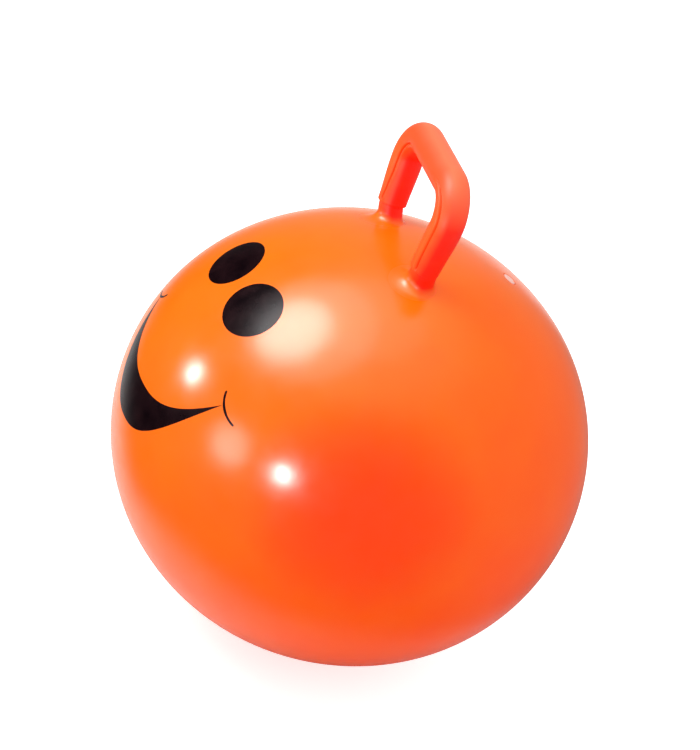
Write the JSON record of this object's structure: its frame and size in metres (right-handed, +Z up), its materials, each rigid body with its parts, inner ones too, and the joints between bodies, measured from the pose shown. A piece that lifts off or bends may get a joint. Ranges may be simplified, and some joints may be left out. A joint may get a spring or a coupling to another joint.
{
  "type": "hopper ball",
  "caption": "Soft hollow bouncing ball to sit on, with a moulded loop handle on its crown, a plugged air valve behind it and a printed smiling face.",
  "frame": {"origin": "on the floor under the middle of the ball, at the centre of its flat rest patch", "axes": "+Z up through the crown and the handle, -Y the way the face looks, +X to the viewer's right when facing it, and the valve on the +Y side"},
  "size_m": [0.45, 0.45, 0.5184],
  "materials": {
    "skin": "moulded soft PVC, satin gloss",
    "handle": "moulded soft PVC, thicker and redder than the skin",
    "plug": "moulded soft plastic, natural",
    "ink": "screen-printed ink"
  },
  "bodies": {
    "ball": {"ball_skin": "skin", "loop_handle": "handle", "valve_seat": "skin", "left_eye": "ink", "right_eye": "ink", "smile": "ink", "left_cheek_crease": "ink", "right_cheek_crease": "ink"},
    "plug": {"valve_plug": "plug"}
  },
  "joints": [
    {"name": "plug_pull", "type": "slide", "parent": "ball", "child": "plug", "axis": [0, 0.4695, 0.8829], "range_m": [0, 0.02]}
  ]
}
